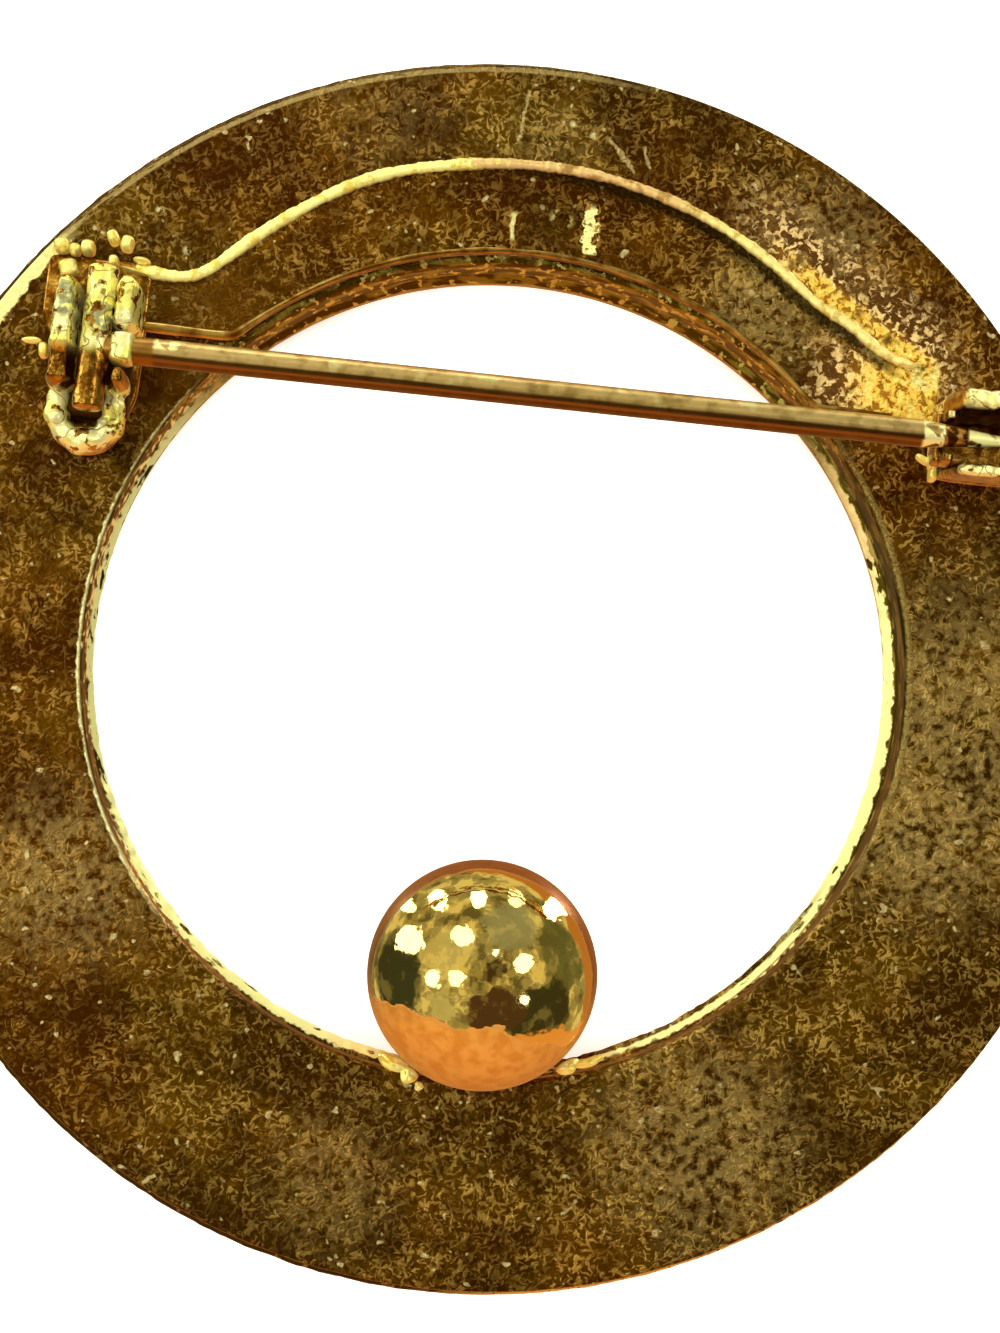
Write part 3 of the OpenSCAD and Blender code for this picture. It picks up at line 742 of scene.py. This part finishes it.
def tab(centre, size, nose, tilt=0.0):
    """A small upright plate with soft edges: a rounded oblong of the section |x|^3 + |z|^3 = 1
    along Y, turned by tilt about Z."""
    at, scale = nosed(24, size[1], nose)
    q = np.linspace(0, 2 * np.pi, 32, endpoint=False)
    x = squared_off(np.cos(q), 0.67) * size[0] / 2 * scale[:, None]
    z = squared_off(np.sin(q), 0.67) * size[2] / 2 * scale[:, None]
    y = (at - size[1] / 2)[:, None] + 0 * x
    return np.array(centre) + swung(np.stack([x, y, z], -1), tilt)


hinge_pieces = [hinge_floor, hinge_rim, left_cheek, right_cheek, right_low]
for name, x, y, wide, long, tall, tilt in (
    ("hinge_lug_left", -16.93, 13.18, 0.55, 0.54, 1.05, 0.2),
    ("hinge_lug_left_in", -16.45, 13.10, 0.40, 0.46, 0.95, -0.1),
    ("hinge_lug_middle", -15.98, 13.20, 0.50, 0.56, 1.05, 0.0),
    ("hinge_lug_right", -15.12, 13.68, 0.42, 0.56, 1.00, 0.5),
    ("hinge_lug_right_low", -14.60, 13.52, 0.46, 0.62, 0.90, -0.2),
    ("hinge_lug_inner", -14.98, 12.72, 0.36, 0.55, 1.15, 0.1),
    ("hinge_ridge", -16.62, 12.42, 0.66, 0.72, 0.75, 0.3),
    ("hinge_side_solder", -17.15, 9.30, 0.34, 0.6, 0.7, 0.1),
    ("hinge_side_solder_left", -17.65, 9.68, 0.80, 0.26, 0.35, 0.05),
    ("hinge_bar_solder", -14.02, 12.98, 0.70, 0.28, 0.7, -0.1),
    ("hinge_bar_streak", -14.25, 12.58, 1.30, 0.22, 0.6, -0.2),
):
    lug = tab((x, y, SHEET + tall / 2 + 0.1), (wide, long, tall), 0.20, tilt)
    hinge_pieces.append(skin(name, lug, bead_gilt))
# The dark block of painted shade in the trough
shade_block = skin("hinge_shade_block", tab((-15.05, 9.3, SHEET + 0.85), (2.5, 5.0, 1.0), 0.25), trough_shade)
for piece in hinge_pieces + [shade_block]:
    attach(piece, "brooch")


# THE CATCH
# Stamped in one with the bar's right end: a narrow floor, a thick upper jaw and a thin
# lower one whose front ends slope back, and a notched wall that the pin's point drops into.

catch_gilt = Finish("catch_gilt")
# Painted highlights: lemon blotches on the jaws' tops and on the front ends of the low parts
blotch = catch_gilt.noise(2.0, 3.0, catch_gilt.moved(7.0, 1.0, 3.0)).rise(0.38, 0.46)
at_front = catch_gilt.z.rise(5.3, 5.1) * catch_gilt.x.rise(15.5, 15.2)
painted_highlight = blotch * unbroken(catch_gilt) * catch_gilt.z.rise(6.7, 6.95).or_more(at_front)
colour = catch_gilt.noise(2.2, 3.0).rise(0.35, 0.65)
colour = catch_gilt.tint(colour, (0.14, 0.048, 0.003), (0.46, 0.24, 0.045))
catch_gilt.wear(catch_gilt.tint(painted_highlight, colour, (1.0, 0.93, 0.42)),
                0.26 + 0.04 * painted_highlight, catch_gilt.noise(1.8, 3.0) + 0.4 * painted_highlight,
                0.09, 0.8, 1 - 0.28 * painted_highlight)

CATCH_END = 18.55
floor = tab((CATCH_END - 1.75, 9.3, SHEET + 0.25), (3.5, 2.6, 0.5), 0.15)
catch_floor = skin("catch_floor", floor, catch_gilt)


def jaw(y, width, start, stop, top, slant, lean, seed):
    """A jaw along X, uneven by 0.03 (sin(4.3 x + seed) + sin(8.9 x + 2 seed)), x from its front.
    Its front end slopes back by slant from foot to top, and its foot leans by lean in Y."""
    at, scale = nosed(60, stop - start, 0.3)
    wide, high = rolled_up(32)
    bumps = 1 + 0.03 * np.sin(4.3 * at + seed) + 0.03 * np.sin(8.9 * at + 2 * seed)
    tall = (top - SHEET - 0.2) * bumps * (0.9 + 0.1 * scale)
    side = width / 2 * (2 - bumps)[:, None] * wide[None] * scale[:, None] + lean * (1 - high[None])
    x = start + at[:, None] + slant * high[None] * (1 - at / (stop - start))[:, None]
    return np.stack([x, y + side, SHEET + 0.2 + tall[:, None] * high[None]], -1)


JAW_TOP = AXIS + 0.6
jaw_up = jaw(10.50, 0.95, 15.02, CATCH_END, JAW_TOP, 0.75, 0.0, 0.4)
jaw_low = jaw(7.88, 0.55, 15.25, CATCH_END, JAW_TOP, 0.45, 0.4, 1.9)
catch_pieces = [catch_floor, skin("catch_jaw_upper", jaw_up, catch_gilt),
                skin("catch_jaw_lower", jaw_low, catch_gilt)]
for name, x, y, z, wide, long, tall, tilt in (
    ("catch_sill", 15.12, 9.2, SHEET + 1.15, 0.4, 1.9, 1.7, 0.0),
    ("catch_post_upper", 15.35, 9.86, AXIS - 0.5, 0.42, 0.42, 1.5, 0.1),
    ("catch_post_lower", 15.35, 8.34, AXIS - 0.5, 0.42, 0.42, 1.3, -0.1),
    ("catch_lug", 15.20, 8.20, SHEET + 0.45, 0.30, 0.62, 0.8, 0.0),
    ("catch_fleck", 14.82, 8.66, SHEET + 0.5, 0.62, 0.28, 0.5, -0.5),
    ("catch_fleck_right", 15.15, 8.74, SHEET + 0.6, 0.30, 0.34, 0.6, 0.5),
    ("catch_end", CATCH_END - 0.2, 9.25, SHEET + 1.6, 0.4, 2.8, 2.8, 0.0),
):
    finish = bead_gilt if "fleck" in name or "lug" in name else catch_gilt
    catch_pieces.append(skin(name, tab((x, y, z), (wide, long, tall), 0.12, tilt), finish))
for piece in catch_pieces:
    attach(piece, "brooch")


# THE PIN
# A straight stem of satin, gilt 1 mm wire, joined at its root to a cross bar that turns in
# the hinge trough, and ground to a blunt point at the other end.

pin_gilt = Finish("pin_gilt")
drawn = pin_gilt.noise(2.2, 3.0, pin_gilt.moved(0, 0, 0, (0.12, 3.0, 3.0)))
spots = pin_gilt.noise(1.6, 2.0).rise(0.42, 0.7)
# Along the stem: rubbed bright by the hinge and where the catch holds it, and painted there as
# highlights, by the hinge on the upper side only; brown between; mottled dark brown and peach
# within the catch; scattered painted highlights; painted shade along its lower side and an orange
# painted reflection at its lower edge
PIN_X, PIN_Y = HINGE.tolist()
gate = pin_gilt.noise(2.4, 3.0).rise(0.43, 0.49)
at_hinge = pin_gilt.x.rise(-12.95, -12.75) * pin_gilt.x.rise(-11.4, -12.4) * pin_gilt.y.rise(9.05, 9.2)
at_catch = pin_gilt.x.rise(14.30, 14.45) * pin_gilt.x.rise(15.18, 15.10)
bright = at_hinge.or_more(at_catch).or_more(pin_gilt.x.rise(15.95, 16.05)) * gate
side = pin_gilt.y - PIN_Y + 0.10 * (drawn - 0.5)
colour = pin_gilt.tint(spots, (0.84, 0.60, 0.27), (0.52, 0.34, 0.12))
# Scattered painted highlights on the stem
painted_sheen = pin_gilt.noise(0.9, 3.0, pin_gilt.moved(3.0, 0, 1.0)).rise(0.60, 0.68)
colour = pin_gilt.tint(painted_sheen * 0.7, colour, (1.0, 0.88, 0.45))
# Painted shade along the lower side, then an orange painted reflection at its lower edge
colour = pin_gilt.tint(side.rise(-0.10, -0.20) * 0.9, colour, (0.10, 0.032, 0.003))
colour = pin_gilt.tint(side.rise(-0.28, -0.32) * side.rise(-0.40, -0.36), colour, (0.32, 0.15, 0.045))
colour = pin_gilt.tint(pin_gilt.x.rise(-12.8, -12.95) * 0.8, colour, (0.36, 0.15, 0.015))
held = pin_gilt.x.rise(15.08, 15.18) * pin_gilt.x.rise(16.05, 15.90)
# Mottled dark brown and peach where the catch holds it
held_mottle = pin_gilt.noise(2.2, 3.0, pin_gilt.moved(1.0, 2.0, 0.5)).rise(0.44, 0.54)
colour = pin_gilt.tint(held, colour, pin_gilt.tint(held_mottle, (0.09, 0.026, 0.001), (0.80, 0.42, 0.12)))
colour = pin_gilt.tint(bright, colour, (1.0, 0.93, 0.42))
pin_gilt.wear(colour, 0.30 + 0.14 * drawn,
              drawn + 0.5 * pin_gilt.noise(5.0, 1.0) + 2.0 * bright * pin_gilt.noise(1.6),
              0.02, 0.5, 1 - 0.28 * bright)


def turned(path, radii):
    """A round bar: a circle of the given radius about each point of a straight path, square
    to the path."""
    way = path[-1] - path[0]
    way = way / np.linalg.norm(way)
    up = np.array([0.0, 0.0, 1.0])
    side = np.cross(up, way)
    q = np.linspace(0, 2 * np.pi, 40, endpoint=False)[None, :, None]
    return path[:, None] + radii[:, None, None] * (np.cos(q) * side + np.sin(q) * up)


STEM_R, CROSS_R = 0.5, 0.55
stem_x = np.concatenate([
    np.linspace(PIN_X, 14.3, 120), np.linspace(14.4, 17.5, 24), [17.56, 17.59, 17.6]])
stem_r = np.interp(stem_x, [PIN_X, -14.6, -14.5, 14.3, 17.5, 17.56, 17.59, 17.6],
                   [0.30, 0.30, STEM_R, STEM_R, 0.15, 0.12, 0.07, 0.01])
stem_path = np.column_stack([stem_x, np.full((len(stem_x), 2), [PIN_Y, AXIS])])
stem = skin("pin_stem", turned(stem_path, stem_r), pin_gilt)
at, scale = nosed(80, 5.35, 0.18)
bar_y = PIN_Y - 2.35 + at
bar_r = CROSS_R * scale * (1 - 0.02 * (1 + np.sin(4.1 * bar_y)) - 0.01 * (1 + np.sin(9.3 * bar_y)))
bar_path = np.column_stack([np.full(80, PIN_X), bar_y, np.full(80, AXIS)])
cross = skin("pin_cross_bar", turned(bar_path, bar_r), hinge_gilt)
collar = tab((PIN_X + 1.0, PIN_Y, AXIS + 0.05), (0.86, 1.18, 1.2), 0.15)
collar = skin("pin_collar", collar, hinge_gilt)
for piece in (stem, cross, collar):
    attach(piece, "pin")
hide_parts("pin")


# THE TABLE
# A plain pale surface. The brooch lies face down on its ball and on the far side of the
# band's dome, so the surface passes 2.3 degrees off the plane of the ring.

slope = 0.0399
uphill = np.array([-0.080, 0.997])


def table_height(x, y):
    """Height of the plane that rests under the ball and under the far side of the dome. As
    it touches the ball beside its lowest point, it lies 0.0034 mm under that point."""
    return -0.0034 + slope * ((x - BALL[0]) * uphill[0] + (y - BALL[1]) * uphill[1])


span = np.array([[-700.0, -700.0], [700.0, -700.0], [700.0, 700.0], [-700.0, 700.0]])
table_points = np.column_stack([span, table_height(span[:, 0], span[:, 1])]) * 0.001
table_mesh = bpy.data.meshes.new("table_top")
table_mesh.from_pydata(table_points.tolist(), [], [(0, 1, 2, 3)])
table_top = bpy.data.objects.new("table_top", table_mesh)
bpy.context.collection.objects.link(table_top)
paper = Finish("pale_paper", metallic=0.0)
colour = paper.tint(paper.noise(0.08, 3.0), (0.91, 0.91, 0.91), (0.94, 0.94, 0.94))
paper.wear(colour, 0.85, paper.noise(2.0, 2.0), 0.01, 0.1)
paper.shader.inputs["Emission Color"].default_value = (1, 1, 1, 1)
paper.shader.inputs["Emission Strength"].default_value = 0.4
table_mesh.materials.append(paper.material)
table_top.visible_glossy = False
table_top.visible_shadow = False


# THE CAMERA
# Above the pin side, a little towards the ball, turned so that the pin slopes down to the
# right; the ring's two sides run out of the frame.

TURN = math.radians(5.9)
camera_far = 0.100
target = Vector((0.0, 0.0, 0.00255))
ray = Vector((-math.tan(math.radians(1.0)), -math.tan(math.radians(8.0)), 1.0)).normalized()
spin = Matrix.Rotation(TURN, 3, "Z")
toward_camera = spin @ ray
right = (spin @ Vector((0, 1, 0))).cross(toward_camera).normalized()
upward = toward_camera.cross(right)
camera_data = bpy.data.cameras.new("camera")
camera_data.lens, camera_data.sensor_width = 74.41, 36.0
camera_data.shift_x, camera_data.shift_y = 0.0084, -0.0043
camera_data.clip_start, camera_data.clip_end = 0.005, 10.0
camera = bpy.data.objects.new("camera", camera_data)
camera.matrix_world = Matrix.Translation(target + camera_far * toward_camera) @ Matrix(
    (right, upward, toward_camera)).transposed().to_4x4()
bpy.context.collection.objects.link(camera)
bpy.context.scene.camera = camera


# THE LIGHT
# Small soft lamps round the table, each placed by where it shows in the ball, a mottled
# room with a warm brown front, and a broad soft light above that no polish mirrors.

def mirrored(x, y):
    """The direction that the ball shows at x, y, as shares of its radius seen from the
    camera: a mirror that faces n sends the camera's ray v to 2 (n . v) n - v. And n . v."""
    n = np.array([x, y, math.sqrt(1 - x * x - y * y)])
    flat = 2 * n[2] * n - np.array([0, 0, 1.0])
    return (right * flat[0] + upward * flat[1] + toward_camera * flat[2]).normalized(), n[2]


def lamp(name, x, y, wide, radiance):
    """A disc lamp that shows in the ball at x, y, drawn out so that it looks round there."""
    way, square_on = mirrored(x, y)
    reach = 0.45
    light = bpy.data.lights.new(name, "AREA")
    light.shape, light.size = "ELLIPSE", 2 * reach * wide * square_on
    light.size_y = 2 * reach * wide / square_on
    light.energy = radiance * math.pi * (math.pi / 4 * light.size * light.size_y)
    light.color = (1.0, 0.98, 0.84)
    made = bpy.data.objects.new(name, light)
    made.location = Vector(BALL * 0.001) + reach * way
    made.rotation_euler = way.to_track_quat("Z", "Y").to_euler()
    made.visible_camera = False
    bpy.context.collection.objects.link(made)


for index, (x, y, wide, radiance) in enumerate((
    (-0.40, 0.655, 0.19, 4.5), (-0.03, 0.69, 0.16, 4.2), (0.30, 0.69, 0.14, 2.6), (0.67, 0.55, 0.20, 5.5),
    (-0.68, 0.56, 0.13, 3.6), (-0.64, 0.31, 0.26, 3.6), (-0.17, 0.38, 0.17, 3.0), (-0.42, 0.01, 0.15, 3.4),
    (-0.21, 0.02, 0.14, 3.4), (0.37, 0.14, 0.16, 4.0), (0.34, -0.17, 0.10, 4.0), (0.12, 0.23, 0.05, 5.0),
)):
    lamp(f"lamp_{index}", x, y, wide, radiance)

fill = bpy.data.lights.new("soft_light_above", "AREA")
fill.shape, fill.size = "SQUARE", 1.0
fill.energy = 12.0
fill.color = (0.95, 0.98, 1.0)
fill_object = bpy.data.objects.new("soft_light_above", fill)
fill_object.location = (0.0, 0.0, 0.8)
fill_object.visible_glossy = False
fill_object.visible_camera = False
bpy.context.collection.objects.link(fill_object)


class Room(Finish):
    """The room's colours: the place in its nodes is the direction looked in, from -1 to 1."""

    def __init__(self, name):
        self.world = bpy.data.worlds.new(name)
        self.world.use_nodes = True
        self.tree = self.world.node_tree
        self.spot = self.node("TexCoord", {}, {}, "Generated")
        self.wobble = 0.22 * (self.noise(2.6, 4.0) - 0.5)

    def toward(self, x, y, z, outer, inner):
        """1 where the direction lies within inner of x, y, z by its cosine, 0 beyond outer."""
        along = self.node("VectorMath", {"operation": "DOT_PRODUCT"}, {0: self.spot, 1: (x, y, z)}, 1)
        return (along + self.wobble).rise(outer, inner)


room = Room("room")
mottle = room.noise(3.0, 6.0, room.moved(0.3, 1.7, 4.0), 0.65)
view = room.tint(mottle.rise(0.40, 0.48), (0.14, 0.125, 0.050), (0.36, 0.33, 0.15))
view = room.tint(mottle.rise(0.51, 0.58), view, (0.80, 0.72, 0.34))
# What shows in the ball: place, half angle in degrees, strength and colour
for x, y, half, strength, tone in (
    (-0.30, 0.25, 26, 0.6, (0.72, 0.68, 0.36)), (0.27, 0.45, 24, 0.85, (0.31, 0.34, 0.24)),
    (0.70, 0.20, 27, 0.85, (0.12, 0.13, 0.05)), (-0.74, -0.04, 32, 1.0, (0.048, 0.054, 0.026)),
    (0.50, -0.34, 32, 1.0, (0.050, 0.046, 0.018)), (0.10, -0.27, 26, 1.0, (0.085, 0.048, 0.022)),
    (0.07, 0.12, 10, 1.0, (0.06, 0.042, 0.022)), (-0.32, -0.20, 11, 0.8, (0.62, 0.58, 0.30)),
):
    way, square_on = mirrored(x, y)
    patch = room.toward(*way, math.cos(math.radians(half + 4)), math.cos(math.radians(half - 4)))
    view = room.tint(patch * strength * (0.75 + 0.5 * mottle.rise(0.62, 0.42)).rise(0, 1), view, tone)
view = room.tint(room.toward(0.25, 0.35, -0.90, 0.72, 0.76), view, (0.52, 0.22, 0.05))
view = room.tint(room.toward(0.0, -0.88, -0.475, 0.52, 0.56), view, (0.85, 0.38, 0.10))
room.tree.links.new(view.socket, room.tree.nodes["Background"].inputs["Color"])
bpy.context.scene.world = room.world

bpy.context.scene.view_settings.view_transform = "Standard"
